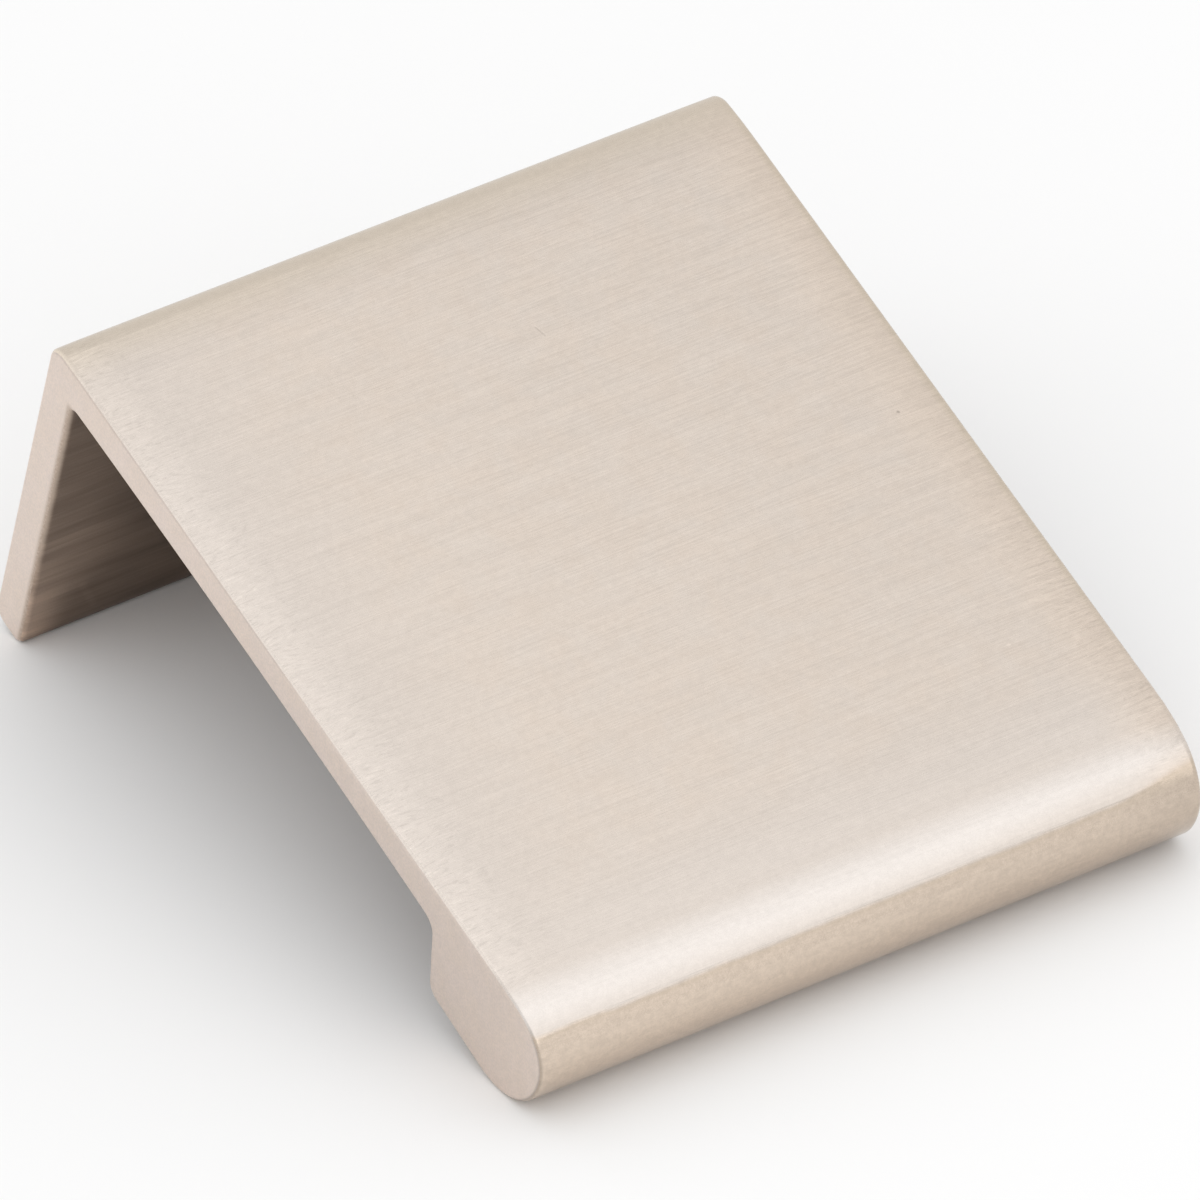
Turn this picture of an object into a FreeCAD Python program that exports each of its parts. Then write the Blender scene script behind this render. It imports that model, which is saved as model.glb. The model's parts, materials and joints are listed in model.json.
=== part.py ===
"""Tab pull for the top edge of a drawer or door front, cast in one piece.

A flat plate lies over the edge of the front. Behind the front a flange hangs down
and is screwed to it, and before the front a thick rounded bead is gripped by the fingers.

Millimetres. X runs along the width, -Y is the front and +Z is up. The origin is the
middle of the two screw holes, on the flange's seat: the face that lies against the
back of the drawer front.
"""
import FreeCAD, Part
import Sketcher
import math
import os

NODE = "tab_pull"

# Driving sizes: lengths in millimetres, angles in degrees
SIZES = {
    # Length of the section, end face to end face
    "width": 38.1,
    # Back of the flange to the nose of the bead
    "depth": 46.4,
    # Top of the plate to the free end of the flange
    "flange_height": 21.7,
    # Seat to back of the flange
    "flange_thickness": 2.5,
    # Rounding of the flange's free end, at the back and at the seat
    "flange_heel_radius": 0.9,
    "flange_toe_radius": 0.65,
    # Plate at its thinnest, half way along
    "plate_thickness": 2.25,
    # How far the underside is hollowed between flange and bead
    "plate_hollow": 0.25,
    # Rounding outside and inside the corner where plate and flange meet
    "corner_radius": 1.1,
    "inner_radius": 0.5,
    # Top of the plate to the lowest point of the bead
    "bead_height": 6.95,
    # Nose of the bead to the foot of its back wall on the plate
    "bead_length": 10.1,
    # Rounding from the plate down to the nose
    "bead_top_radius": 2.8,
    # Rise of the bead's base towards the back
    "bead_base_slope": 3.0,
    # Lean of the bead's back wall from upright
    "bead_wall_lean": 12.0,
    # Hollow rounding between the underside and the back wall
    "bead_root_radius": 0.75,
    # Rounding between the back wall and the base
    "bead_heel_radius": 0.9,
    # Rounding of every edge round the two end faces
    "edge_radius": 0.3,
    # Clearance for a small wood screw, and the distance between the two holes
    "hole_diameter": 4.0,
    "hole_spacing": 16.0,
    # Free end of the flange to the hole centres
    "hole_rise": 9.6,
    # Mouth and full angle of the countersink at the back of the flange
    "countersink_diameter": 7.6,
    "countersink_angle": 90.0,
    # How far the drill goes on past the seat
    "drill_overrun": 0.5,
}

# Feature, the corner of the section that it rounds, and the size that it takes
ROUNDINGS = (
    ("CornerRound", "top_back", "corner_radius"),
    ("InnerRound", "inside", "inner_radius"),
    ("FlangeHeelRound", "end_back", "flange_heel_radius"),
    ("FlangeToeRound", "end_seat", "flange_toe_radius"),
    ("BeadRootRound", "root", "bead_root_radius"),
    ("BeadHeelRound", "heel", "bead_heel_radius"),
)

# Sketch numbering: start, end and centre of a piece of geometry, the two axes, and the origin on both
START, END, CENTRE = range(1, 4)
UPRIGHT_AXIS, LEVEL_AXIS = range(-2, 0)
ORIGIN = LEVEL_AXIS
SKETCH_NORMAL = FreeCAD.Vector(0, 0, 1)

# Two points closer than this are the same place
SAME_PLACE = 1e-4

doc = FreeCAD.newDocument("tab_pull")


def make_sheet():
    """The spreadsheet that holds the driving sizes."""
    sheet = doc.addObject("Spreadsheet::Sheet", "Sizes")
    for row, (name, value) in enumerate(SIZES.items(), start=1):
        sheet.set(f"A{row}", name)
        sheet.set(f"B{row}", str(value))
        sheet.setAlias(f"B{row}", name)
    doc.recompute()
    return sheet


def new_sketch(body, name, role):
    """An empty sketch on one of the body's own origin planes."""
    plane = next(item for item in body.Origin.OriginFeatures if item.Role == role)
    sketch = body.newObject("Sketcher::SketchObject", name)
    sketch.AttachmentSupport = [(plane, "")]
    sketch.MapMode = "FlatFace"
    return sketch


def drive(sketch, name, constraint, formula):
    """Add a named constraint and tie its value to the sheet."""
    index = sketch.addConstraint(constraint)
    sketch.renameConstraint(index, name)
    sketch.setExpression(f"Constraints.{name}", formula)


def section_spots():
    """Corners of the section as first drawn, in the sketch's Y and Z."""
    end = -SIZES["hole_rise"]
    top = end + SIZES["flange_height"]
    back = SIZES["flange_thickness"]
    under = top - SIZES["plate_thickness"] - SIZES["plate_hollow"]
    nose = back - SIZES["depth"]
    upper = SIZES["bead_top_radius"]
    base = top - SIZES["bead_height"]
    root = nose + SIZES["bead_length"]
    lean = math.tan(math.radians(SIZES["bead_wall_lean"])) * (under - base)
    spots = {
        "top_front": (nose + upper, top),
        "top_back": (back, top),
        "end_back": (back, end),
        "end_seat": (0, end),
        "inside": (0, under),
        "root": (root, under),
        "heel": (root - lean, base),
        "base": (nose + SIZES["bead_height"] - upper, base),
        "nose": (nose, top - upper),
    }
    return {name: FreeCAD.Vector(y, z, 0) for name, (y, z) in spots.items()}


def draw_section(sketch):
    """The section: flange, plate with a hollowed underside, and the bead with its full nose.

    Gives the corners that are still sharp, each as a line of the sketch and an end of it.
    """
    spot = section_spots()
    upper = SIZES["bead_top_radius"]
    lower = SIZES["bead_height"] - upper
    hollow = SIZES["plate_hollow"]
    span = spot["inside"].x - spot["root"].x
    under_radius = (span ** 2 / 4 + hollow ** 2) / (2 * hollow)
    under_centre = FreeCAD.Vector(-span / 2, spot["inside"].y + hollow - under_radius, 0)
    half_turn = math.asin(span / 2 / under_radius)
    quarter = math.pi / 2

    def line(start, finish):
        return sketch.addGeometry(Part.LineSegment(spot[start], spot[finish]), False)

    def arc(centre, radius, start, finish):
        circle = Part.Circle(centre, SKETCH_NORMAL, radius)
        return sketch.addGeometry(Part.ArcOfCircle(circle, start, finish), False)

    top = line("top_front", "top_back")
    rear = line("top_back", "end_back")
    end = line("end_back", "end_seat")
    seat = line("end_seat", "inside")
    under = arc(under_centre, under_radius, quarter - half_turn, quarter + half_turn)
    wall = line("heel", "root")
    base = line("base", "heel")
    low = arc(spot["nose"] + FreeCAD.Vector(lower, 0, 0), lower, 2 * quarter, 3 * quarter)
    high = arc(spot["nose"] + FreeCAD.Vector(upper, 0, 0), upper, quarter, 2 * quarter)

    rule = Sketcher.Constraint
    sketch.addConstraint([
        rule("Tangent", top, START, high, START),
        rule("Coincident", top, END, rear, START),
        rule("Coincident", rear, END, end, START),
        rule("Coincident", end, END, seat, START),
        rule("Coincident", seat, END, under, START),
        rule("Coincident", under, END, wall, END),
        rule("Coincident", wall, START, base, END),
        rule("Tangent", base, START, low, END),
        rule("Tangent", low, START, high, END),
        rule("Horizontal", top),
        rule("Vertical", rear),
        rule("Horizontal", end),
        rule("Vertical", seat),
        rule("Horizontal", under, START, under, END),
        rule("Horizontal", high, END, high, CENTRE),
        rule("PointOnObject", seat, START, UPRIGHT_AXIS),
    ])

    thickness = rule("DistanceX", end, END, end, START, SIZES["flange_thickness"])
    level = rule("DistanceY", rear, END, ORIGIN, START, SIZES["hole_rise"])
    drop = rule("DistanceY", rear, END, rear, START, SIZES["flange_height"])
    reach = rule("DistanceX", high, END, rear, START, SIZES["depth"])
    foot = rule("DistanceX", high, END, wall, END, SIZES["bead_length"])
    ledge = rule("DistanceY", seat, END, top, END, SIZES["plate_thickness"] + hollow)
    lean = rule("Angle", wall, quarter - math.radians(SIZES["bead_wall_lean"]))
    slope = rule("Angle", base, math.radians(SIZES["bead_base_slope"]))
    chord = "(Sizes.depth - Sizes.flange_thickness - Sizes.bead_length)"
    bend = f"({chord} ^ 2 / 4 + Sizes.plate_hollow ^ 2) / (2 * Sizes.plate_hollow)"
    drive(sketch, "thickness", thickness, "Sizes.flange_thickness")
    drive(sketch, "level", level, "Sizes.hole_rise")
    drive(sketch, "drop", drop, "Sizes.flange_height")
    drive(sketch, "reach", reach, "Sizes.depth")
    drive(sketch, "foot", foot, "Sizes.bead_length")
    drive(sketch, "ledge", ledge, "Sizes.plate_thickness + Sizes.plate_hollow")
    drive(sketch, "bend", rule("Radius", under, under_radius), bend)
    drive(sketch, "upper", rule("Radius", high, upper), "Sizes.bead_top_radius")
    drive(sketch, "lower", rule("Radius", low, lower), "Sizes.bead_height - Sizes.bead_top_radius")
    drive(sketch, "lean", lean, "90 deg - Sizes.bead_wall_lean * 1 deg")
    drive(sketch, "slope", slope, "Sizes.bead_base_slope * 1 deg")
    doc.recompute()
    return {
        "top_back": (top, END),
        "end_back": (rear, END),
        "end_seat": (end, END),
        "inside": (seat, END),
        "root": (wall, END),
        "heel": (wall, START),
    }


def edges_along(shape, y, z):
    """Names of the straight edges that run along X through one place in Y and Z."""
    names = []
    for number, edge in enumerate(shape.Edges, start=1):
        box = edge.BoundBox
        slim = max(box.YLength, box.ZLength) < SAME_PLACE
        if slim and math.hypot(box.Center.y - y, box.Center.z - z) < SAME_PLACE:
            names.append(f"Edge{number}")
    return names


def edges_round_ends(shape):
    """Names of the edges that lie wholly in one of the two end faces."""
    reach = shape.BoundBox.XMax
    names = []
    for number, edge in enumerate(shape.Edges, start=1):
        box = edge.BoundBox
        if box.XLength < SAME_PLACE and abs(abs(box.XMax) - reach) < SAME_PLACE:
            names.append(f"Edge{number}")
    return names


def round_edges(body, name, names, size):
    """Fillet the named edges of the body's last feature with a radius from the sheet."""
    if not names:
        raise RuntimeError(f"{name} found no edge to round")
    base = body.Tip
    fillet = body.newObject("PartDesign::Fillet", name)
    fillet.Base = (base, names)
    fillet.setExpression("Radius", f"Sizes.{size}")
    doc.recompute()


def cut_holes(body, sheet):
    """Two countersunk screw holes through the flange, opening at its back."""
    sketch = new_sketch(body, "HoleCentres", "XZ_Plane")
    sketch.setExpression("AttachmentOffset.Base.z", "-Sizes.flange_thickness")
    bore = SIZES["hole_diameter"]
    spacing = SIZES["hole_spacing"]
    left, right = (
        sketch.addGeometry(Part.Circle(FreeCAD.Vector(x, 0, 0), SKETCH_NORMAL, bore / 2), False)
        for x in (-spacing / 2, spacing / 2)
    )
    rule = Sketcher.Constraint
    sketch.addConstraint([
        rule("PointOnObject", left, CENTRE, LEVEL_AXIS),
        rule("Symmetric", left, CENTRE, right, CENTRE, ORIGIN, START),
        rule("Equal", left, right),
    ])
    drive(sketch, "bore", rule("Diameter", left, bore), "Sizes.hole_diameter")
    drive(sketch, "spacing", rule("DistanceX", left, CENTRE, right, CENTRE, spacing), "Sizes.hole_spacing")
    doc.recompute()

    before = body.Shape.Volume
    hole = body.newObject("PartDesign::Hole", "ScrewHoles")
    hole.Profile = sketch
    hole.Reversed = True
    hole.DepthType = "Dimension"
    hole.DrillPoint = "Flat"
    hole.HoleCutType = "Countersink"
    hole.HoleCutCustomValues = True
    hole.setExpression("Diameter", "Sizes.hole_diameter")
    hole.setExpression("Depth", "Sizes.flange_thickness + Sizes.drill_overrun")
    hole.setExpression("HoleCutDiameter", "Sizes.countersink_diameter")
    hole.setExpression("HoleCutCountersinkAngle", "Sizes.countersink_angle * 1 deg")
    doc.recompute()

    drilled = before - body.Shape.Volume
    plain = 2 * math.pi * (sheet.hole_diameter / 2) ** 2 * sheet.flange_thickness
    if drilled < plain:
        raise RuntimeError(f"the holes took {drilled:.1f} cubic millimetres, and plain ones take {plain:.1f}")


def make_pull(sheet):
    """The whole pull: one section run along X, its edges rounded and its flange drilled."""
    body = doc.addObject("PartDesign::Body", "TabPull")
    body.Label = NODE
    section = new_sketch(body, "Section", "YZ_Plane")
    corners = draw_section(section)
    run = body.newObject("PartDesign::Pad", "Run")
    run.Profile = section
    run.SideType = "Symmetric"
    run.setExpression("Length", "Sizes.width")
    doc.recompute()
    for name, corner, size in ROUNDINGS:
        spot = section.getPoint(*corners[corner])
        round_edges(body, name, edges_along(body.Shape, spot.x, spot.y), size)
    cut_holes(body, sheet)
    round_edges(body, "EndEdges", edges_round_ends(body.Shape), "edge_radius")
    body.Placement = FreeCAD.Placement()
    doc.recompute()
    return body


def check(part):
    """Stop if any object of the document failed, or if the sub-part's shape is not sound."""
    for item in doc.Objects:
        if "Invalid" in item.State or "Error" in item.State:
            raise RuntimeError(f"{item.Name} did not rebuild: {item.State}")
    if part.Shape.isNull() or not part.Shape.isValid():
        raise RuntimeError(f"{part.Label} has no sound shape")
    print(f"{part.Label}: {len(part.Shape.Solids)} solid, {part.Shape.Volume:.1f} cubic millimetres")


pull = make_pull(make_sheet())
check(pull)
os.makedirs("parts", exist_ok=True)
pull.Shape.exportStep(f"parts/{pull.Label}.step")
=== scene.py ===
"""Tab pull for a drawer front: the finished casting, its satin nickel, and a studio table to see it on.

The pull lies on the table as it would come to rest there, on the free end of its flange and on its bead.
Metres. X runs along the width, -Y is the front and +Z is up, as in the frame.
"""

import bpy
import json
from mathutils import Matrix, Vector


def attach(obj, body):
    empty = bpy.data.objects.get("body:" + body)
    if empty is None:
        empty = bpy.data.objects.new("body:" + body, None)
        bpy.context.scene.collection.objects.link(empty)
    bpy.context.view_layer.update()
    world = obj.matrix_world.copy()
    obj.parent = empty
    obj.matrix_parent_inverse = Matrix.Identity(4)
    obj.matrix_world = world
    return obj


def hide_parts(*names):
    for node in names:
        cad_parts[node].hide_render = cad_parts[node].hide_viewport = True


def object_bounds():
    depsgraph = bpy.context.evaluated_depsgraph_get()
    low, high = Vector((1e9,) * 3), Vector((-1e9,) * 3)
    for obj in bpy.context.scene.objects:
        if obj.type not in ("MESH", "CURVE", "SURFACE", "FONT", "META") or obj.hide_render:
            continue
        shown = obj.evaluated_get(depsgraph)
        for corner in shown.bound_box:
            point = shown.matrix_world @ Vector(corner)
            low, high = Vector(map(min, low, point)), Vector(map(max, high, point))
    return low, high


bl_info = {
    "name": "Tab Pull",
    "version": (1, 0, 0),
    "blender": (4, 5, 0),
    "location": "View3D > Sidebar > Tab Pull",
    "description": "Models a brushed nickel tab pull and sets it on a studio table",
    "category": "Object",
}

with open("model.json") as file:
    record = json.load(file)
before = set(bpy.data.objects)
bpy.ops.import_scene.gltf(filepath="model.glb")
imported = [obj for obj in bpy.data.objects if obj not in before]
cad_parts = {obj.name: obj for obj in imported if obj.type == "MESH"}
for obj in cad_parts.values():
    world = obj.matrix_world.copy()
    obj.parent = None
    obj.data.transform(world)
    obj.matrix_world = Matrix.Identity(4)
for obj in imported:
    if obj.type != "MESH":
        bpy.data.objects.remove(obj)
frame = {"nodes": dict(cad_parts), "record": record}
CAD_LOW, CAD_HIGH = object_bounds()

import json
import math

import bmesh
import bpy
from bpy.props import FloatProperty, FloatVectorProperty, IntProperty, PointerProperty
from mathutils import Matrix, Quaternion, Vector
from mathutils.geometry import convex_hull_2d

NODE = "tab_pull"
BODY = "root"
MM = 0.001
# Points closer than this are merged, and a point this near to a level counts as on it
MERGE = 0.001 * MM
NEAR = 0.01 * MM
SCREWS = frame["record"]["mounts"][0]["dims"]
LEVEL = Vector((1, 0, 0))
BRUSHED, TUMBLED, SHADED_BAY = range(3)


# Sizes, finish and stage that a user would change


class PullSizes(bpy.types.PropertyGroup):
    """Sizes of the casting that the frame's box does not give."""

    flange_thickness: FloatProperty(
        name="Flange thickness", description="Seat to back of the flange",
        default=2.5 * MM, unit="LENGTH", precision=5)
    flange_heel_radius: FloatProperty(
        name="Flange heel radius", description="Rounding of the flange's free end at the back",
        default=0.9 * MM, unit="LENGTH", precision=5)
    flange_toe_radius: FloatProperty(
        name="Flange toe radius", description="Rounding of the flange's free end at the seat",
        default=0.65 * MM, unit="LENGTH", precision=5)
    plate_thickness: FloatProperty(
        name="Plate thickness", description="Plate at its thinnest, half way along",
        default=2.25 * MM, unit="LENGTH", precision=5)
    plate_hollow: FloatProperty(
        name="Plate hollow", description="How far the underside is hollowed between flange and bead",
        default=0.25 * MM, unit="LENGTH", precision=5)
    corner_radius: FloatProperty(
        name="Corner radius", description="Rounding outside the corner of plate and flange",
        default=1.1 * MM, unit="LENGTH", precision=5)
    inner_radius: FloatProperty(
        name="Inner radius", description="Rounding inside the corner of plate and flange",
        default=0.5 * MM, unit="LENGTH", precision=5)
    bead_height: FloatProperty(
        name="Bead height", description="Top of the plate to the lowest point of the bead",
        default=6.95 * MM, unit="LENGTH", precision=5)
    bead_length: FloatProperty(
        name="Bead length", description="Nose of the bead to the foot of its back wall on the plate",
        default=10.1 * MM, unit="LENGTH", precision=5)
    bead_top_radius: FloatProperty(
        name="Bead top radius", description="Rounding from the plate down to the nose",
        default=2.8 * MM, unit="LENGTH", precision=5)
    bead_base_slope: FloatProperty(
        name="Bead base slope", description="Rise of the bead's base towards the back",
        default=math.radians(3), subtype="ANGLE")
    bead_wall_lean: FloatProperty(
        name="Bead wall lean", description="Lean of the bead's back wall from upright",
        default=math.radians(12), subtype="ANGLE")
    bead_root_radius: FloatProperty(
        name="Bead root radius", description="Hollow rounding between the underside and the back wall",
        default=0.75 * MM, unit="LENGTH", precision=5)
    bead_heel_radius: FloatProperty(
        name="Bead heel radius", description="Rounding between the back wall and the base",
        default=0.9 * MM, unit="LENGTH", precision=5)
    edge_radius: FloatProperty(
        name="Edge radius", description="Rounding of every edge round the two end faces",
        default=0.3 * MM, unit="LENGTH", precision=5)
    countersink_diameter: FloatProperty(
        name="Countersink diameter", description="Mouth of the countersink at the back of the flange",
        default=7.6 * MM, unit="LENGTH", precision=5)
    hole_break: FloatProperty(
        name="Hole edge break", description="Broken edge of each screw hole at the seat",
        default=0.15 * MM, unit="LENGTH", precision=5)
    shoulder_wear: FloatProperty(
        name="Shoulder wear", description="How far the belt has taken down the plate where the bead begins",
        default=0.127 * MM, unit="LENGTH", precision=5)
    edge_wear: FloatProperty(
        name="Edge wear", description="How far the belt has rolled the plate over at its two ends",
        default=0.09 * MM, unit="LENGTH", precision=5)
    back_wear: FloatProperty(
        name="Back wear", description="How far the belt has rolled the plate over at its back corner",
        default=0.115 * MM, unit="LENGTH", precision=5)
    end_wear: FloatProperty(
        name="End wear", description="How far the bead's right end is dubbed over at the nose",
        default=0.59 * MM, unit="LENGTH", precision=5)
    spans: IntProperty(
        name="Spans", description="Divisions of the casting along its width", default=96, min=8)


class PullFinish(bpy.types.PropertyGroup):
    """Colours and grain of the satin nickel."""

    brushed: FloatVectorProperty(
        name="Brushed nickel", description="Colour of the brushed faces",
        default=(0.610, 0.541, 0.480), subtype="COLOR", min=0, max=1)
    # Partly real rubbing, partly painted highlight: this whiter nickel whitens the bead's top where the
    # highlight falls
    burnish_and_highlight: FloatVectorProperty(
        name="Burnished nickel and highlight", description="Colour of the bead's top, where hands and belt rub it bright",
        default=(0.693, 0.644, 0.605), subtype="COLOR", min=0, max=1)
    plated: FloatVectorProperty(
        name="Plated nickel", description="Colour of the bead's front, which the belt did not reach",
        default=(0.640, 0.535, 0.440), subtype="COLOR", min=0, max=1)
    tumbled: FloatVectorProperty(
        name="Tumbled nickel", description="Colour of the matt end faces",
        default=(0.765, 0.668, 0.606), subtype="COLOR", min=0, max=1)
    # Painted shade: the bay between flange and bead gets a dark nickel in place of the shade that falls
    # there
    bay_shade: FloatVectorProperty(
        name="Bay nickel in painted shade",
        description="Colour of the bay between flange and bead, left as it was plated",
        default=(0.315, 0.240, 0.190), subtype="COLOR", min=0, max=1)
    brush_pitch: FloatProperty(
        name="Brush pitch", description="Distance from one brush line to the next",
        default=0.12 * MM, unit="LENGTH", precision=6)
    brush_stroke: FloatProperty(
        name="Brush stroke", description="Length of a brush line",
        default=3.0 * MM, unit="LENGTH", precision=5)
    grain_size: FloatProperty(
        name="Grain size", description="Size of the finest grain of the metal",
        default=0.08 * MM, unit="LENGTH", precision=6)


class PullStage(bpy.types.PropertyGroup):
    """Camera, table and light."""

    view_azimuth: FloatProperty(
        name="View azimuth", description="Turn of the view from +Y towards +X",
        default=math.radians(42.632), subtype="ANGLE")
    view_elevation: FloatProperty(
        name="View elevation", description="Height of the camera over the pull's own level",
        default=math.radians(51.678), subtype="ANGLE")
    view_roll: FloatProperty(
        name="View roll", description="Turn of the camera about its line of sight",
        default=math.radians(14.185), subtype="ANGLE")
    view_distance: FloatProperty(
        name="View distance", description="Camera to the aim point",
        default=977.64 * MM, unit="LENGTH", precision=5)
    view_aim: FloatVectorProperty(
        name="View aim", description="Place in the middle of the picture",
        default=(1.478 * MM, -17.443 * MM, 3.936 * MM), subtype="TRANSLATION", precision=5)
    lens: FloatProperty(
        name="Lens", description="Focal length of the camera in millimetres", default=606.5)
    table_radius: FloatProperty(
        name="Table radius", description="Reach of the table top", default=2.0, unit="LENGTH")
    table_colour: FloatVectorProperty(
        name="Table colour", description="Colour of the table top",
        default=(0.88, 0.88, 0.88), subtype="COLOR", min=0, max=1)
    room: FloatProperty(
        name="Room", description="Brightness of the white room all round", default=1.0)
    softbox: FloatProperty(
        name="Softbox", description="Brightness of the softbox over the pull", default=0.36)
    softbox_width: FloatProperty(
        name="Softbox width", description="Side of the softbox along the pull",
        default=0.643, unit="LENGTH")
    softbox_length: FloatProperty(
        name="Softbox length", description="Side of the softbox from back to front",
        default=0.70, unit="LENGTH")
    softbox_place: FloatVectorProperty(
        name="Softbox place", description="Middle of the softbox, measured from the table",
        default=(0.013, -0.191, 0.410), subtype="TRANSLATION")


# Modelling


def section_corners(sizes):
    """Corners of the section before rounding: (y, z, rounding), round from the top of the corner."""
    top, end = CAD_HIGH.z, CAD_LOW.z
    back, nose = CAD_HIGH.y, CAD_LOW.y
    seat = back - sizes.flange_thickness
    under = top - sizes.plate_thickness - sizes.plate_hollow
    root = nose + sizes.bead_length
    slope = math.tan(sizes.bead_base_slope)
    lean = math.tan(sizes.bead_wall_lean)
    low_radius = sizes.bead_height - sizes.bead_top_radius
    turn = math.radians(90) + sizes.bead_base_slope
    foot = top - sizes.bead_top_radius - low_radius * math.tan(turn / 2)
    heel_z = (foot + slope * (root - nose - lean * under)) / (1 - slope * lean)
    heel_y = root - lean * (under - heel_z)
    return (
        (back, top, sizes.corner_radius),
        (back, end, sizes.flange_heel_radius),
        (seat, end, sizes.flange_toe_radius),
        (seat, under, sizes.inner_radius),
        (root, under, sizes.bead_root_radius),
        (heel_y, heel_z, sizes.bead_heel_radius),
        (nose, foot, low_radius),
        (nose, top, sizes.bead_top_radius),
    )


def steps_for(radius):
    """Segments of a rounding: more on a large one."""
    fewest = 6
    for_each_mm = 8
    return max(fewest, round(radius / MM * for_each_mm))


def round_corner(bm, vert, radius):
    """Round one corner of the flat section with an arc that meets both its edges."""
    first, second = (edge.other_vert(vert).co - vert.co for edge in vert.link_edges)
    reach = radius / math.tan(first.angle(second) / 2)
    bmesh.ops.bevel(
        bm, geom=[vert], offset=reach, offset_type="OFFSET", segments=steps_for(radius),
        profile=0.5, affect="VERTICES", material=-1, clamp_overlap=False)


def draw_section(bm, sizes):
    """The rounded section as one face at the left end of the pull."""
    corners = section_corners(sizes)
    verts = [bm.verts.new((CAD_LOW.x, y, z)) for y, z, radius in corners]
    bm.faces.new(verts)
    for vert, (y, z, radius) in zip(verts, corners):
        round_corner(bm, vert, radius)
    bmesh.ops.remove_doubles(bm, verts=bm.verts[:], dist=MERGE)


def hollow_underside(bm, sizes):
    """Divide the underside of the section and lift it to a shallow hollow."""
    under = CAD_HIGH.z - sizes.plate_thickness - sizes.plate_hollow
    edge = max(
        (edge for edge in bm.edges if all(abs(v.co.z - under) < NEAR for v in edge.verts)),
        key=lambda edge: edge.calc_length())
    start, finish = sorted(v.co.y for v in edge.verts)
    spans = 10
    cut = bmesh.ops.subdivide_edges(bm, edges=[edge], cuts=spans - 1)
    for vert in (item for item in cut["geom_inner"] if isinstance(item, bmesh.types.BMVert)):
        share = (vert.co.y - start) / (finish - start)
        vert.co.z += sizes.plate_hollow * 4 * share * (1 - share)


def run_section(bm, sizes):
    """Run the section along the width, divide it into spans and round the edges of both ends."""
    out = bmesh.ops.extrude_face_region(bm, geom=bm.faces[:])
    moved = [item for item in out["geom"] if isinstance(item, bmesh.types.BMVert)]
    bmesh.ops.translate(bm, verts=moved, vec=(CAD_HIGH.x - CAD_LOW.x, 0, 0))
    along = [edge for edge in bm.edges if edge.verts[0].co.x != edge.verts[1].co.x]
    bmesh.ops.subdivide_edges(bm, edges=along, cuts=sizes.spans - 1, use_grid_fill=True)
    half = CAD_HIGH.x - NEAR
    rims = [edge for edge in bm.edges if all(abs(vert.co.x) > half for vert in edge.verts)]
    bmesh.ops.bevel(
        bm, geom=rims, offset=sizes.edge_radius, offset_type="OFFSET", segments=5,
        profile=0.5, affect="EDGES", material=-1, clamp_overlap=False)
    bmesh.ops.recalc_face_normals(bm, faces=bm.faces[:])


def divide_faces(bm, pitch=1.25 * MM):
    """Cut the long flat faces across about a pitch apart, so that no face is a sliver."""
    snap = 0.02 * MM
    for axis in (1, 2):
        low, high = CAD_LOW[axis], CAD_HIGH[axis]
        count = round((high - low) / pitch)
        normal = Vector((0, 0, 0))
        normal[axis] = 1
        for step in range(1, count):
            place = normal * (low + (high - low) * step / count)
            bmesh.ops.bisect_plane(
                bm, geom=bm.verts[:] + bm.edges[:] + bm.faces[:], plane_co=place, plane_no=normal,
                dist=snap)


def wear_shoulder(bm, sizes):
    """Take the plate down towards the bead, so that it runs into the bead's top without a visible start."""
    level = CAD_HIGH.z - sizes.bead_top_radius
    foot = CAD_LOW.y + sizes.bead_top_radius
    reach = 3.36 * MM
    for vert in bm.verts:
        share = (foot + reach - vert.co.y) / reach
        if share > 0 and vert.co.z > level:
            height = (vert.co.z - level) / sizes.bead_top_radius
            run = share ** 2 if share < 1 else 2 * share - 1
            vert.co.z -= sizes.shoulder_wear * run * height ** 2


def wear_edges(bm, sizes):
    """Roll the top of the plate over towards its two ends."""
    reach = 2.2 * MM
    depth = 1.1 * MM
    for vert in bm.verts:
        share = max(0, abs(vert.co.x) - CAD_HIGH.x + reach) / reach
        height = max(0, vert.co.z - CAD_HIGH.z + depth) / depth
        vert.co.z -= sizes.edge_wear * share ** 2 * height


def wear_back(bm, sizes):
    """Roll the plate over towards its back corner, more at the right end than at the left."""
    reach = 2.4 * MM
    bias = 0.4
    foot = CAD_HIGH.y - sizes.corner_radius
    level = CAD_HIGH.z - sizes.corner_radius
    for vert in bm.verts:
        share = (vert.co.y - foot + reach) / reach
        height = (vert.co.z - level) / sizes.corner_radius
        if share > 0 and height > 0:
            run = share ** 2 if share < 1 else 2 * share - 1
            lean = 1 + bias * vert.co.x / CAD_HIGH.x
            vert.co.z -= sizes.back_wear * lean * run * height


def wear_end(bm, sizes):
    """Dub over the right end of the bead, more towards the nose."""
    length = 4.7 * MM
    reach = 8 * MM
    ease = 1 * MM
    start = CAD_LOW.y + length
    full = length ** 2 / (length + ease)
    for vert in bm.verts:
        share = max(0, vert.co.x - CAD_HIGH.x + reach) / reach
        ahead = max(0, start - vert.co.y)
        vert.co.x -= sizes.end_wear * share ** 2 * ahead ** 2 / (ahead + ease) / full


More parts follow.
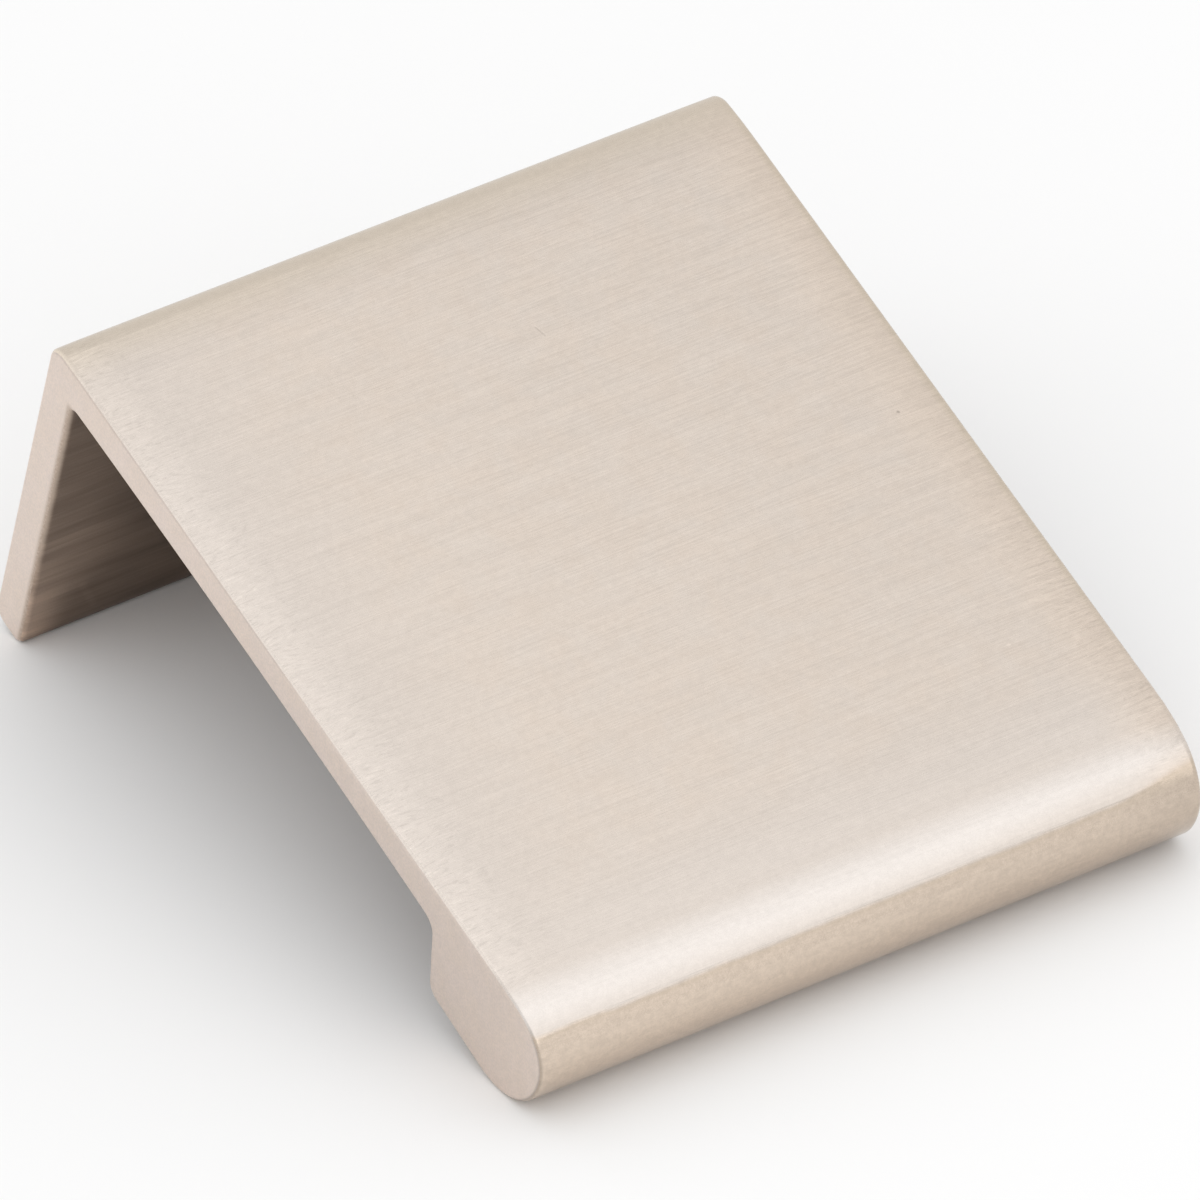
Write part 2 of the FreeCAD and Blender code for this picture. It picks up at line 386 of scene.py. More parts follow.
def mark_faces(bm, sizes):
    """Number each face's finish: brushed, tumbled on the two ends, and the bay, whose dark nickel is painted
    shade.
    """
    brushed_turn = math.radians(50)
    toe_share = 0.2 * MM
    hollow_share = 0.1 * MM
    end = CAD_HIGH.x - sizes.edge_radius * (1 - math.sin(brushed_turn))
    lean = (sizes.bead_height - sizes.plate_thickness) * math.tan(sizes.bead_wall_lean)
    wall = CAD_LOW.y + sizes.bead_length - lean
    seat = CAD_HIGH.y - sizes.flange_thickness + toe_share
    under = CAD_HIGH.z - sizes.plate_thickness + hollow_share
    for face in bm.faces:
        middle = face.calc_center_median()
        if abs(middle.x) > end:
            face.material_index = TUMBLED
        # The bay's faces take the nickel darkened as painted shade
        elif wall < middle.y < seat and middle.z < under:
            face.material_index = SHADED_BAY
        else:
            face.material_index = BRUSHED


def make_object(name, bm):
    """An object at the origin with the bmesh as its mesh."""
    mesh = bpy.data.meshes.new(name)
    bm.to_mesh(mesh)
    bm.free()
    thing = bpy.data.objects.new(name, mesh)
    bpy.context.scene.collection.objects.link(thing)
    return thing


def make_drills(sizes):
    """A countersunk drill for each screw hole, spun about the hole's axis."""
    bore = SCREWS["hole_r_mm"] * MM
    spacing = SCREWS["spacing_x_mm"] * MM
    count = SCREWS["count"]
    back = CAD_HIGH.y
    seat = back - sizes.flange_thickness
    mouth = sizes.countersink_diameter / 2
    clear = 1 * MM
    profile = (
        (0, back + clear),
        (mouth + clear, back + clear),
        (bore, back - mouth + bore),
        (bore, seat + sizes.hole_break),
        (bore + sizes.hole_break + clear, seat - clear),
        (0, seat - clear),
    )
    bm = bmesh.new()
    for number in range(count):
        x = (number - (count - 1) / 2) * spacing
        ring = [bm.verts.new((x + radius, y, 0)) for radius, y in profile]
        edges = [bm.edges.new(pair) for pair in zip(ring, ring[1:])]
        bmesh.ops.spin(
            bm, geom=ring + edges, cent=(x, 0, 0), axis=(0, 1, 0), angle=math.radians(360),
            steps=64, use_merge=True, use_duplicate=False)
    bmesh.ops.remove_doubles(bm, verts=bm.verts[:], dist=MERGE)
    bmesh.ops.recalc_face_normals(bm, faces=bm.faces[:])
    return make_object("screw_drills", bm)


def drill(pull, drills):
    """Cut the screw holes and keep the result as the pull's own mesh."""
    cut = pull.modifiers.new("Screw holes", "BOOLEAN")
    cut.operation = "DIFFERENCE"
    cut.solver = "EXACT"
    cut.object = drills
    solid, tool = pull.data, drills.data
    result = pull.evaluated_get(bpy.context.evaluated_depsgraph_get())
    pull.data = bpy.data.meshes.new_from_object(result)
    pull.modifiers.clear()
    bpy.data.objects.remove(drills)
    for mesh in (solid, tool):
        bpy.data.meshes.remove(mesh)
    pull.data.name = pull.name


def smooth(pull):
    """Smooth the roundings, and keep flat faces flat and the holes' rims sharp."""
    sharp = math.radians(35)
    pull.data.shade_smooth()
    pull.data.set_sharp_from_angle(angle=sharp)
    level = pull.modifiers.new("Level faces", "WEIGHTED_NORMAL")
    level.mode = "FACE_AREA"
    level.keep_sharp = True


# Materials


TOP = CAD_HIGH.z / MM

# Marks on the metal: start, end and width in millimetres
NICK = (2.89, -6.68, TOP), (3.06, -7.29, TOP), 0.09
PORE = (16.39, -18.55, TOP), (16.42, -18.57, TOP), 0.115
PALE_SPOT = (13.80, -32.87, TOP), (13.84, -32.87, TOP), 0.14
SCUFF = (-16.0, 0.0, -6.16), (-15.07, 0.0, -8.14), 0.4


def tone(colour, gains=(1, 1, 1)):
    """The colour with each part multiplied by its own gain, as a colour socket takes it."""
    return (*(part * gain for part, gain in zip(colour, gains)), 1)


class Graph:
    """Adds nodes to one tree and links them."""

    def __init__(self, tree):
        self.tree = tree
        tree.nodes.clear()

    def add(self, kind, inputs=None, **settings):
        """A node with these settings. An input is a value, or a socket to link from."""
        node = self.tree.nodes.new(kind)
        for name, value in settings.items():
            setattr(node, name, value)
        for name, value in (inputs or {}).items():
            if isinstance(value, bpy.types.NodeSocket):
                self.tree.links.new(value, node.inputs[name])
            else:
                node.inputs[name].default_value = value
        return node

    def math(self, operation, first, second=0.0):
        """One sum of two values."""
        return self.add("ShaderNodeMath", {0: first, 1: second}, operation=operation).outputs[0]

    def product(self, first, *others):
        """The values multiplied together."""
        for other in others:
            first = self.math("MULTIPLY", first, other)
        return first

    def total(self, first, *others):
        """The values added together."""
        for other in others:
            first = self.math("ADD", first, other)
        return first

    def less(self, first, second):
        """The first value less the second."""
        return self.math("SUBTRACT", first, second)

    def larger(self, first, second):
        """The larger of two values."""
        return self.math("MAXIMUM", first, second)

    def vector(self, operation, first, second=(0, 0, 0)):
        """One sum of two vectors; a dot product and a length are values."""
        node = self.add("ShaderNodeVectorMath", {0: first, 1: second}, operation=operation)
        return node.outputs["Value" if operation in {"DOT_PRODUCT", "LENGTH"} else "Vector"]

    def combine(self, **parts):
        """A vector of the named parts, with 0 for the others."""
        return self.add("ShaderNodeCombineXYZ", parts).outputs[0]

    def scale(self, colour, gain):
        """A colour or vector times a value."""
        return self.add("ShaderNodeVectorMath", {0: colour, "Scale": gain}, operation="SCALE").outputs[0]

    def fade(self, value, start, finish, low=0.0, high=1.0):
        """A soft step: low before start and high after finish."""
        inputs = {"Value": value, "From Min": start, "From Max": finish, "To Min": low, "To Max": high}
        return self.add("ShaderNodeMapRange", inputs, interpolation_type="SMOOTHSTEP").outputs[0]

    def spread(self, value, low, high):
        """Low where the value is 0 and high where it is 1, in a straight line that runs on past both."""
        inputs = {"Value": value, "To Min": low, "To Max": high}
        return self.add("ShaderNodeMapRange", inputs, clamp=False).outputs[0]

    def mix(self, share, first, second):
        """A colour between two."""
        return self.add("ShaderNodeMix", {0: share, 6: first, 7: second}, data_type="RGBA").outputs[2]

    def blend(self, share, first, second):
        """A value between two."""
        return self.add("ShaderNodeMix", {0: share, 2: first, 3: second}, data_type="FLOAT").outputs[0]

    def tint(self, colour, value, depth):
        """The colour, made darker or lighter by depth as the value goes from 0 to 1."""
        return self.scale(colour, self.spread(value, 1 - depth, 1 + depth))

    def shade(self, colour, mask, change):
        """The colour, made lighter by the change where the mask is 1, or darker if it is below 0."""
        return self.scale(colour, self.spread(mask, 1, 1 + change))

    def group(self, tree, **inputs):
        """The output of a node group."""
        return self.add("ShaderNodeGroup", inputs, node_tree=tree).outputs[0]


class Spot:
    """Where on the pull the surface lies, in millimetres, and the patterns there."""

    def __init__(self, graph, groups):
        self.graph = graph
        self.groups = groups
        self.place = graph.scale(graph.add("ShaderNodeTexCoord").outputs["Object"], 1 / MM)
        self.x, self.y, self.z = graph.add("ShaderNodeSeparateXYZ", {0: self.place}).outputs
        self.inset = graph.less(CAD_HIGH.x / MM, graph.math("ABSOLUTE", self.x))

    def lines(self, pitch, stroke, place=None):
        """Brush lines, here or at another place."""
        return self.graph.group(self.groups["lines"], Place=place or self.place, Pitch=pitch, Stroke=stroke)

    def grain(self, size, place=None):
        """Grain of one size, here or at another place."""
        return self.graph.group(self.groups["grain"], Place=place or self.place, Size=size)

    def mark(self, start, end, width):
        """One straight mark."""
        return self.graph.group(self.groups["mark"], Place=self.place, Start=start, End=end, Width=width)


def new_group(name, output, **inputs):
    """An empty node group: its graph, the sockets of its inputs, and the socket of its output."""
    tree = bpy.data.node_groups.new(name, "ShaderNodeTree")
    graph = Graph(tree)
    for label, kind in inputs.items():
        tree.interface.new_socket(name=label, in_out="INPUT", socket_type="NodeSocket" + kind)
    tree.interface.new_socket(name=output, in_out="OUTPUT", socket_type="NodeSocketFloat")
    return graph, graph.add("NodeGroupInput").outputs, graph.add("NodeGroupOutput").inputs[output]


def noise(graph, place, roughness):
    """Noise about as large as one unit of the place, spread over 0 to 1."""
    inputs = {"Vector": place, "Scale": 1.0, "Detail": 2.0, "Roughness": roughness}
    return graph.fade(graph.add("ShaderNodeTexNoise", inputs).outputs[0], 0.25, 0.75)


def lines_group():
    """Brush lines along X, a pitch apart and a stroke long."""
    graph, given, out = new_group("Brush lines", "Lines", Place="Vector", Pitch="Float", Stroke="Float")
    size = graph.combine(X=given["Stroke"], Y=given["Pitch"], Z=given["Pitch"])
    scaled = graph.vector("DIVIDE", given["Place"], size)
    graph.tree.links.new(noise(graph, scaled, roughness=0.6), out)
    return graph.tree


def grain_group():
    """Even grain of one size."""
    graph, given, out = new_group("Grain", "Grain", Place="Vector", Size="Float")
    scaled = graph.vector("DIVIDE", given["Place"], given["Size"])
    graph.tree.links.new(noise(graph, scaled, roughness=0.55), out)
    return graph.tree


def mark_group():
    """One straight mark from start to end, this wide, with soft sides."""
    graph, given, out = new_group(
        "Mark", "Mark", Place="Vector", Start="Vector", End="Vector", Width="Float")
    along = graph.vector("SUBTRACT", given["End"], given["Start"])
    reach = graph.vector("SUBTRACT", given["Place"], given["Start"])
    run = graph.vector("DOT_PRODUCT", reach, along)
    share = graph.math("DIVIDE", run, graph.vector("DOT_PRODUCT", along, along))
    held = graph.add("ShaderNodeClamp", {"Value": share}).outputs[0]
    aside = graph.vector("SUBTRACT", reach, graph.scale(along, held))
    away = graph.vector("LENGTH", aside)
    graph.tree.links.new(graph.fade(away, given["Width"], 0.0), out)
    return graph.tree


def metal(name, build, *args):
    """A metal whose colour, roughness and height in millimetres come from build."""
    material = bpy.data.materials.new(name)
    material.use_nodes = True
    graph = Graph(material.node_tree)
    colour, roughness, height = build(graph, *args)
    bump = graph.add("ShaderNodeBump", {"Height": height, "Strength": 1.0, "Distance": MM})
    surface = graph.add(
        "ShaderNodeBsdfPrincipled",
        {"Base Color": colour, "Metallic": 1.0, "Roughness": roughness, "Normal": bump.outputs[0]})
    graph.add("ShaderNodeOutputMaterial", {"Surface": surface.outputs[0]})
    return material


# The finishes: places, sizes and heights are in millimetres


def plated_edge(graph, spot):
    """How far the surface lies under the wavy edge of the brushed finish on the bead, in millimetres."""
    level = 11.31
    wave_length = 3.5
    wave_height = 0.05
    out_of_reach = 40.0
    rise = graph.fade(spot.x, 13.3, 18.5, high=0.29)
    hook = graph.fade(spot.x, -14.3, -15.3, high=0.06)
    wave = graph.product(spot.grain(wave_length, graph.combine(X=spot.x)), wave_height)
    under = graph.less(graph.total(rise, hook, wave, level), spot.z)
    return graph.less(under, graph.fade(spot.y, -38.0, -36.0, high=out_of_reach))


def end_scratches(graph, spot):
    """Short scratches that fan out near both ends of the plate: above 0 where raised, below 0 where deep."""
    patch = 3.0
    fan = 0.6
    pitch = 0.13
    stroke = 0.7
    turn = graph.less(spot.grain(patch, graph.combine(Y=spot.y, Z=spot.z)), 0.5)
    lean = graph.product(turn, spot.inset, fan)
    lines = spot.lines(pitch, stroke, graph.vector("ADD", spot.place, graph.combine(Y=lean)))
    deep = graph.fade(lines, 0.35, 0.05, high=0.4)
    raised = graph.fade(lines, 0.72, 1.0, high=0.32)
    near_an_end = graph.fade(spot.inset, 5.0, 0.8)
    calm_right = graph.product(graph.fade(spot.x, -5.0, 5.0), graph.fade(spot.y, -30.0, -16.0, high=0.75))
    calm_left = graph.product(graph.fade(spot.x, 5.0, -5.0), graph.fade(spot.y, -39.0, -41.5))
    left_over = graph.less(1.0, graph.total(calm_right, calm_left))
    return graph.product(graph.less(raised, deep), near_an_end, left_over)


def rubbed_and_lit_top(graph, spot):
    """How much of the bead's top takes the burnished colour, from the plate before it down to the plated
    front: partly rubbing, partly painted highlight.
    """
    # Painted highlight and rubbing share this mask
    nearing = graph.fade(spot.y, -34.0, -39.0, high=0.1)
    on_top = graph.fade(spot.y, -39.3, -41.5)
    forward = graph.less(spot.y, graph.fade(spot.x, 4.0, 17.0, high=0.35))
    short_of_the_front = graph.fade(forward, -43.1, -41.6)
    weak_at_the_right = graph.fade(spot.x, 15.0, 20.0, 1.0, 0.5)
    return graph.product(graph.larger(nearing, on_top), short_of_the_front, weak_at_the_right)


def plate_colour(graph, spot, finish, rub_and_sheen, lines, grain, mottle):
    """Brushed metal, which turns warm in drifts, cool, tanned or olive by its place, with its marks; its
    right edge darker as painted shade, its left end lighter as rubbing and painted light, and the bead's top
    whitened as rubbing and painted highlight.
    """
    drift_size = 1.6
    drift_share = 0.8
    coarse = 3
    drift = graph.product(spot.grain(drift_size), drift_share)
    strokes = spot.lines(coarse * finish.brush_pitch / MM, coarse * finish.brush_stroke / MM)
    left_or_front = graph.larger(graph.fade(spot.x, -9.0, -17.0), graph.fade(spot.y, -33.0, -39.0))
    right_end = graph.fade(spot.x, 14.5, 18.8)
    # Painted shade: the plate's right edge is darkened where it rolls over
    right_edge = graph.product(graph.fade(spot.x, 18.3, 18.85), graph.fade(spot.y, -40.0, -28.0))
    back_corner = graph.product(graph.fade(spot.y, -1.0, 2.4), graph.fade(spot.z, 9.5, 11.6))
    # Partly rubbing, partly painted light: the plate's left end is lightened towards the burnished colour
    left_end_rub_and_light = graph.product(graph.fade(spot.x, -15.0, -18.8, high=0.2), graph.fade(spot.y, 0.0, -9.0))

    warm = tone(finish.brushed, (1.0, 0.980, 0.96))
    cool = tone(finish.brushed, (0.98, 0.99, 1.005))
    tanned = tone(finish.brushed, (1.04, 1.005, 0.965))
    shaded = tone(finish.brushed, (0.964, 0.933, 0.859))
    olive = tone(finish.brushed, (1.0, 0.985, 0.925))
    colour = graph.mix(drift, tone(finish.brushed), warm)
    colour = graph.mix(left_or_front, colour, cool)
    colour = graph.mix(right_end, colour, tanned)
    colour = graph.mix(right_edge, colour, shaded)
    colour = graph.tint(colour, lines, depth=0.030)
    colour = graph.tint(colour, strokes, depth=0.020)
    colour = graph.mix(back_corner, colour, olive)
    # Painted highlight and painted light on the bead's top and the plate's left end
    colour = graph.mix(graph.larger(rub_and_sheen, left_end_rub_and_light), colour, tone(finish.burnish_and_highlight))
    colour = graph.shade(colour, end_scratches(graph, spot), change=0.22)
    colour = graph.tint(colour, mottle, depth=0.024)
    colour = graph.tint(colour, grain, depth=0.026)
    colour = graph.shade(colour, spot.mark(*NICK), change=-0.12)
    colour = graph.shade(colour, spot.mark(*PORE), change=-0.40)
    return graph.shade(colour, spot.mark(*PALE_SPOT), change=0.14)


def front_colour(graph, spot, finish, lines, grain, mottle):
    """Plated front of the bead: grained, with painted light and shade: lighter to the left and at its upper
    edge, darker towards the right.
    """
    colour = graph.tint(finish.plated, mottle, depth=0.055)
    colour = graph.tint(colour, lines, depth=0.025)
    colour = graph.tint(colour, grain, depth=0.050)
    # Painted light and shade: lighter to the left, darker at the right end, lighter at the upper edge
    across = graph.fade(spot.x, -14.0, 14.0, 1.04, 0.97)
    right_end = graph.fade(spot.x, 13.0, 18.5, 1.0, 0.91)
    upper_edge = graph.fade(spot.z, 10.5, 11.3, 1.0, 1.025)
    return graph.scale(colour, graph.product(across, right_end, upper_edge))


def edge_highlight_and_shade(graph, spot, colour):
    """The colour with a painted highlight on the plate's left edge and painted shade on the edges of the
    bead's front.
    """
    left_edge_highlight = graph.product(graph.fade(spot.inset, 0.27, 0.08), graph.fade(spot.x, -18.0, -18.5))
    left_edge_highlight = graph.product(left_edge_highlight, graph.fade(spot.y, -41.0, -38.0))
    front_edges_shade = graph.product(graph.fade(spot.inset, 0.22, 0.08), graph.fade(spot.y, -41.8, -43.0))
    # Painted highlight on the plate's left edge, painted shade on the edges of the bead's front
    colour = graph.shade(colour, left_edge_highlight, change=0.30)
    return graph.shade(colour, front_edges_shade, change=-0.30)


def brushed_relief(graph, spot, under, rub_and_sheen, lines, grain, mottle):
    """Brush lines and one nick, a soft lip where they end on the bead, and the peel of the plated front."""
    line_height = 0.0025
    rubbed_line_height = 0.0008
    nick_depth = 0.003
    lip_reach = 0.25
    lip_curve = 0.13
    mottle_height = 0.003
    grain_height = 0.001
    ridge = graph.product(lines, graph.fade(rub_and_sheen, 0.0, 1.0, line_height, rubbed_line_height))
    pit = graph.product(spot.mark(*NICK), nick_depth)
    near = graph.larger(graph.total(under, lip_reach), 0.0)
    lip = graph.product(near, near, lip_curve)
    peel = graph.total(graph.product(mottle, mottle_height), graph.product(grain, grain_height))
    plated = graph.fade(under, -0.09, 0.09)
    return graph.blend(plated, graph.total(lip, graph.less(ridge, pit)), peel)


def brushed_face(graph, finish, groups):
    """Brushed along the width, rubbed bright and given a painted highlight on the bead's top, and only
    plated on the bead's front.
    """
    spot = Spot(graph, groups)
    mottle_size = 0.35
    lines = spot.lines(finish.brush_pitch / MM, finish.brush_stroke / MM)
    grain = spot.grain(finish.grain_size / MM)
    mottle = spot.grain(mottle_size)
    under = plated_edge(graph, spot)
    rub_and_sheen = rubbed_and_lit_top(graph, spot)

    plate = plate_colour(graph, spot, finish, rub_and_sheen, lines, grain, mottle)
    front = front_colour(graph, spot, finish, lines, grain, mottle)
    colour = graph.mix(graph.fade(under, -0.12, 0.06), plate, front)
    khaki = tone(finish.plated, (0.86, 0.87, 0.80))
    rim_width = graph.fade(spot.x, 13.0, 17.5, 0.17, 0.55)
    rim = graph.product(graph.fade(under, -0.04, 0.06), graph.fade(under, rim_width, 0.05, high=0.2))
    colour = edge_highlight_and_shade(graph, spot, graph.mix(rim, colour, khaki))

    brushed_roughness = graph.fade(lines, 0.0, 1.0, 0.21, 0.31)
    front_roughness = 0.18
    roughness = graph.blend(graph.fade(spot.y, -41.4, -42.6), brushed_roughness, front_roughness)
    return colour, roughness, brushed_relief(graph, spot, under, rub_and_sheen, lines, grain, mottle)


def tumbled_face(graph, finish, groups):
    """Matt and finely grained, as tumbling leaves an end face, with painted shade towards the front, along
    its edges and along the edge of the bay.
    """
    spot = Spot(graph, groups)
    coarse = 1.5
    mottle_size = 0.6
    drift_size = 2.0
    grain_height = 0.006
    grain = spot.grain(coarse * finish.grain_size / MM)
    mottle = spot.grain(mottle_size)
    drift = spot.grain(drift_size)
    warm = tone(finish.tumbled, (1.0, 0.995, 0.975))
    # Painted shade: a darker tumbled nickel for where the end face rounds into the bay
    shaded_tumbled = tone(finish.tumbled, (0.68, 0.63, 0.57))

    colour = graph.mix(drift, tone(finish.tumbled), warm)
    colour = graph.tint(colour, grain, depth=0.07)
    colour = graph.tint(colour, mottle, depth=0.015)
    # Painted shade: darker towards the bead's front
    colour = graph.scale(colour, graph.fade(spot.y, -10.0, -41.0, 1.0, 0.94))
    # Painted shade on the end face's rounded edge at the nose
    nose_edge_shade = graph.product(graph.fade(spot.inset, 0.0, 0.05), graph.fade(spot.y, -41.8, -43.0))
    colour = graph.shade(colour, nose_edge_shade, change=-0.30)
    # Painted shade: a thin dark line along the end face's top edge, stronger towards the back
    arris_shade = graph.product(graph.fade(spot.inset, 0.0, 0.03), graph.fade(spot.y, -22.0, -18.5, 0.4, 1.0))
    arris_shade = graph.product(arris_shade, graph.fade(spot.z, 11.3, 11.6))
    colour = graph.shade(colour, arris_shade, change=-0.14)
    # Painted shade where the end face rounds into the bay, broken up by the grain
    flange = graph.product(graph.fade(spot.y, -2.0, -1.0), graph.fade(spot.z, 9.9, 9.3))
    bay_edge_shade = graph.product(graph.fade(spot.y, 0.50, 0.12), flange, graph.fade(grain, 0.0, 1.0, 0.75, 1.15))
    colour = graph.mix(bay_edge_shade, colour, shaded_tumbled)
    roughness = graph.fade(grain, 0.0, 1.0, 0.46, 0.60)
    return colour, roughness, graph.product(grain, grain_height)


def shaded_bay_face(graph, finish, groups):
    """Dark and streaked along the width: painted shade in the bay, darker deeper in, with painted
    reflections and a painted highlight lighter near the open end and along its rim.
    """
    spot = Spot(graph, groups)
    streak_height = 0.0006
    fine = spot.lines(pitch=0.25, stroke=8.0)
    broad = spot.lines(pitch=1.1, stroke=9.0)
    grain = spot.grain(finish.grain_size / MM)

    colour = graph.tint(finish.bay_shade, fine, depth=0.11)
    colour = graph.tint(colour, broad, depth=0.17)
    colour = graph.tint(colour, grain, depth=0.06)
    colour = graph.scale(colour, graph.fade(spot.mark(*SCUFF), 0.0, 1.0, 1.0, 1.10))
    # Painted shade: darker deeper into the bay and lower down, lighter near the open end
    reach = graph.product(spot.inset, graph.fade(spot.z, -4.0, -9.0, 1.0, 2.3))
    colour = graph.scale(colour, graph.fade(reach, 7.0, 1.0, 0.84, 1.16))
    # Painted reflection: lighter low down near the open end, a little darker elsewhere
    rub_and_sheen = graph.product(graph.fade(spot.z, 2.0, -4.0), graph.fade(reach, 6.0, 1.5))
    colour = graph.scale(colour, graph.spread(rub_and_sheen, 0.936, 1.16))
    # Painted reflection: lighter still at the bottom near the open end
    pale_reflection = graph.product(graph.fade(spot.z, -3.0, -6.5), graph.fade(spot.inset, 2.5, 0.4))
    colour = graph.shade(colour, pale_reflection, change=0.22)
    # Painted highlight: the upper part of the rim next to the end face is lighter, in the front nickel's
    # colour
    margin = graph.product(graph.fade(spot.inset, 0.30, 0.08, high=0.45), graph.fade(spot.z, -5.0, -1.0))
    colour = graph.mix(margin, colour, tone(finish.plated))
    roughness = graph.fade(fine, 0.0, 1.0, 0.30, 0.38)
    return colour, roughness, graph.product(fine, streak_height)


def dress(pull, finish):
    """Make the three finishes, in the order that the faces number them."""
    groups = {"lines": lines_group(), "grain": grain_group(), "mark": mark_group()}
    finishes = (
        ("brushed_nickel_face", brushed_face),
        ("tumbled_nickel_end", tumbled_face),
        # The bay's finish is the nickel darkened as painted shade
        ("shaded_nickel_bay", shaded_bay_face),
    )
    for name, build in finishes:
        pull.data.materials.append(metal(name, build, finish, groups))


# Stage


def table_rest():
    """Where the table touches the pull: the middle of the touching line, and the table's tilt about X."""
    points = [(vert.co.y, vert.co.z) for vert in frame["nodes"][NODE].data.vertices]
    hull = [Vector(points[index]) for index in convex_hull_2d(points)]
    middle = (CAD_LOW.z + CAD_HIGH.z) / 2
    sides = [(a, b) for a, b in zip(hull, hull[1:] + hull[:1]) if (a.y + b.y) / 2 < middle]
    a, b = max(sides, key=lambda side: (side[1] - side[0]).length)
    back, front = (a, b) if a.x > b.x else (b, a)
    tilt = math.atan2(front.y - back.y, back.x - front.x)
    return Vector((0, (a.x + b.x) / 2, (a.y + b.y) / 2)), -tilt


def aim(thing, eye, target):
    """Put a lamp or camera at eye, looking at target."""
    thing.location = eye
    thing.rotation_mode = "QUATERNION"
    thing.rotation_quaternion = (target - eye).to_track_quat("-Z", "Y")


def make_table(stage, table):
    """A round pale table top that the camera sees only from above."""
    bm = bmesh.new()
    bmesh.ops.create_circle(bm, cap_ends=True, segments=96, radius=stage.table_radius)
    bmesh.ops.transform(bm, matrix=table, verts=bm.verts[:])
    top = make_object("table_top", bm)
    material = bpy.data.materials.new("table_white")
    material.use_nodes = True
    graph = Graph(material.node_tree)
    cover = graph.add("ShaderNodeBsdfDiffuse", {"Color": (*stage.table_colour, 1)})
    clear = graph.add("ShaderNodeBsdfTransparent")
    seen = graph.add("ShaderNodeLightPath").outputs["Is Camera Ray"]
    below = graph.add("ShaderNodeNewGeometry").outputs["Backfacing"]
    hidden = graph.product(seen, below)
    surface = graph.add("ShaderNodeMixShader", {0: hidden, 1: cover.outputs[0], 2: clear.outputs[0]})
    graph.add("ShaderNodeOutputMaterial", {"Surface": surface.outputs[0]})
    top.data.materials.append(material)


def make_light(stage, table):
    """A white room, and one large softbox over the front of the pull."""
    world = bpy.data.worlds.new("studio")
    world.use_nodes = True
    bpy.context.scene.world = world
    graph = Graph(world.node_tree)
    room = graph.add("ShaderNodeBackground", {"Color": (1, 1, 1, 1), "Strength": stage.room})
    graph.add("ShaderNodeOutputWorld", {"Surface": room.outputs[0]})

    lamp = bpy.data.lights.new("softbox", "AREA")
    lamp.shape = "RECTANGLE"
    lamp.size = stage.softbox_width
    lamp.size_y = stage.softbox_length
    # The power that gives a flat lamp of this size the brightness
    lamp.energy = stage.softbox * math.pi * lamp.size * lamp.size_y
    box = bpy.data.objects.new("softbox", lamp)
    bpy.context.scene.collection.objects.link(box)
    aim(box, table @ Vector(stage.softbox_place), table.translation)


def make_camera(stage):
    """A long lens at the picture's viewing angle."""
    azimuth, elevation = stage.view_azimuth, stage.view_elevation
    look = Vector((
        math.sin(azimuth) * math.cos(elevation),
        math.cos(azimuth) * math.cos(elevation),
        -math.sin(elevation)))
    lens = bpy.data.cameras.new("camera")
    lens.lens = stage.lens
    lens.sensor_width = 36
    lens.clip_start = 0.01
    lens.clip_end = 20
    camera = bpy.data.objects.new("camera", lens)
    bpy.context.scene.collection.objects.link(camera)
    target = Vector(stage.view_aim)
    aim(camera, target - look * stage.view_distance, target)
    camera.rotation_quaternion = camera.rotation_quaternion @ Quaternion((0, 0, 1), stage.view_roll)
    bpy.context.scene.camera = camera


# Operators and panel


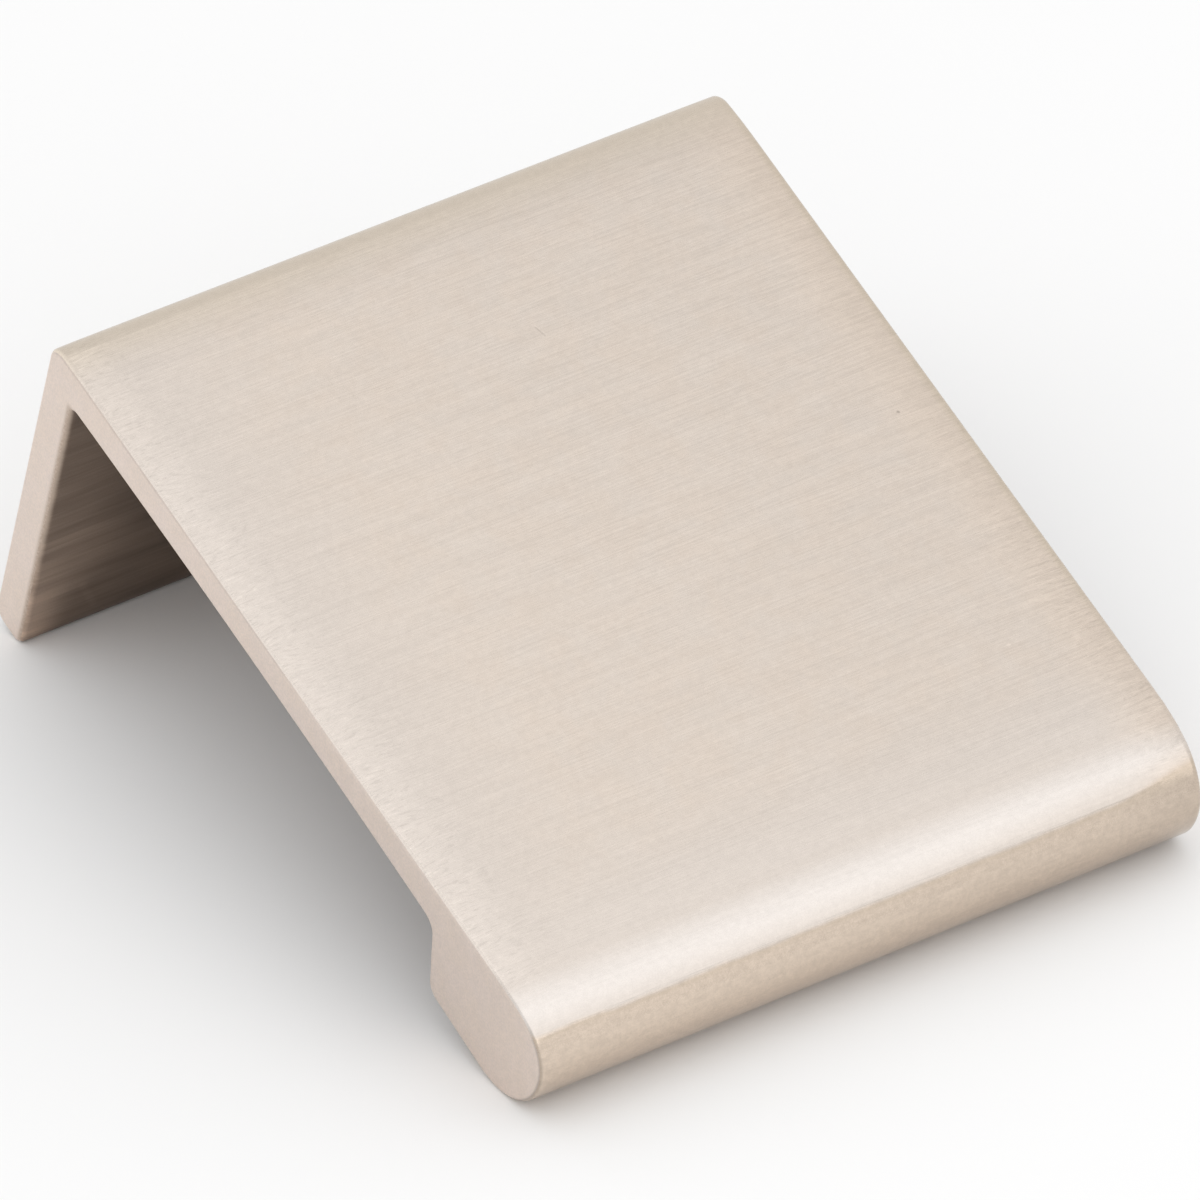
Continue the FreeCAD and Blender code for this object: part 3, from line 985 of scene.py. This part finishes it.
class OBJECT_OT_tab_pull(bpy.types.Operator):
    """Model the casting over its frame and give it its finish"""

    bl_idname = "object.tab_pull"
    bl_label = "Make Tab Pull"
    bl_options = {"REGISTER", "UNDO"}

    def execute(self, context):
        sizes = context.scene.pull_sizes
        bm = bmesh.new()
        draw_section(bm, sizes)
        hollow_underside(bm, sizes)
        run_section(bm, sizes)
        divide_faces(bm)
        mark_faces(bm, sizes)
        wear_shoulder(bm, sizes)
        wear_edges(bm, sizes)
        wear_back(bm, sizes)
        wear_end(bm, sizes)
        pull = make_object("satin_pull", bm)
        drill(pull, make_drills(sizes))
        smooth(pull)
        dress(pull, context.scene.pull_finish)
        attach(pull, BODY)
        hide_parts(NODE)
        return {"FINISHED"}


class SCENE_OT_tab_pull_stage(bpy.types.Operator):
    """Lay the table under the pull, light it and set the camera"""

    bl_idname = "scene.tab_pull_stage"
    bl_label = "Set Studio Stage"
    bl_options = {"REGISTER", "UNDO"}

    def execute(self, context):
        stage = context.scene.pull_stage
        context.scene.view_settings.view_transform = "Standard"
        place, tilt = table_rest()
        table = Matrix.Translation(place) @ Matrix.Rotation(tilt, 4, LEVEL)
        make_table(stage, table)
        make_light(stage, table)
        make_camera(stage)
        return {"FINISHED"}


class VIEW3D_PT_tab_pull(bpy.types.Panel):
    """Sizes, finish and stage of the tab pull"""

    bl_label = "Tab Pull"
    bl_space_type = "VIEW_3D"
    bl_region_type = "UI"
    bl_category = "Tab Pull"

    def draw(self, context):
        layout = self.layout
        for settings, operator in (
            (("pull_sizes", "pull_finish"), OBJECT_OT_tab_pull.bl_idname),
            (("pull_stage",), SCENE_OT_tab_pull_stage.bl_idname),
        ):
            column = layout.column()
            for name in settings:
                group = getattr(context.scene, name)
                for key in group.__annotations__:
                    column.prop(group, key)
            column.operator(operator)


CLASSES = (
    PullSizes,
    PullFinish,
    PullStage,
    OBJECT_OT_tab_pull,
    SCENE_OT_tab_pull_stage,
    VIEW3D_PT_tab_pull,
)
SETTINGS = {"pull_sizes": PullSizes, "pull_finish": PullFinish, "pull_stage": PullStage}


def register():
    """Register the classes and hang their settings on the scene."""
    for item in CLASSES:
        bpy.utils.register_class(item)
    for name, kind in SETTINGS.items():
        setattr(bpy.types.Scene, name, PointerProperty(type=kind))


def unregister():
    """Take the settings and the classes away again."""
    for name in SETTINGS:
        delattr(bpy.types.Scene, name)
    for item in reversed(CLASSES):
        bpy.utils.unregister_class(item)


def main():
    """Make the pull and its stage."""
    register()
    bpy.ops.object.tab_pull()
    bpy.ops.scene.tab_pull_stage()


if __name__ == "__main__":
    main()
